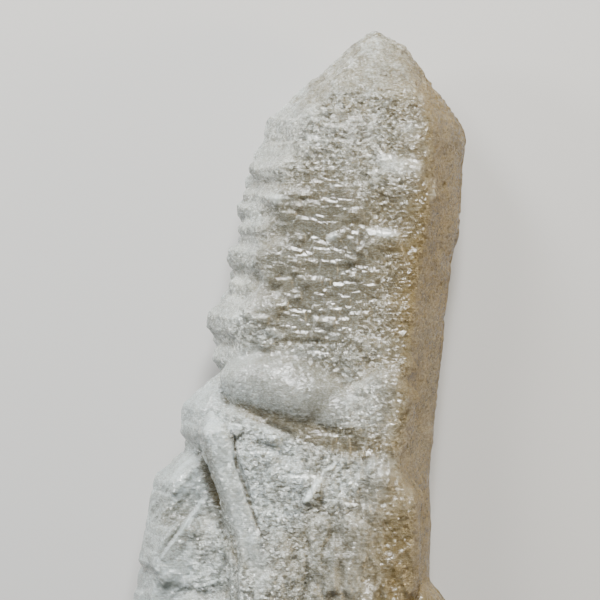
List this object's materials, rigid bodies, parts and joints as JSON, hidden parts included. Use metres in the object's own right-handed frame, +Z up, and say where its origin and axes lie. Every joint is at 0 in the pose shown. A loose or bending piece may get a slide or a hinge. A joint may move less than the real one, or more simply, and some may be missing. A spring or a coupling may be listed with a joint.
{
  "type": "quartz floater",
  "caption": "Milky quartz floater lying on its back: a stout flattened crystal with a pointed end, a stepped flank, a swelling across its front and a cluster of points at its foot.",
  "frame": {"origin": "on the surface that the stone lies on, under the middle of its outline", "axes": "+Y up the crystal towards its main point, +X across it towards its smooth side, +Z up out of its front"},
  "size_m": [0.0384, 0.0866, 0.0167],
  "materials": {
    "milky_quartz": "frosted, with sugary growth steps"
  },
  "bodies": {
    "root": {"quartz_floater": "milky_quartz"}
  },
  "joints": []
}
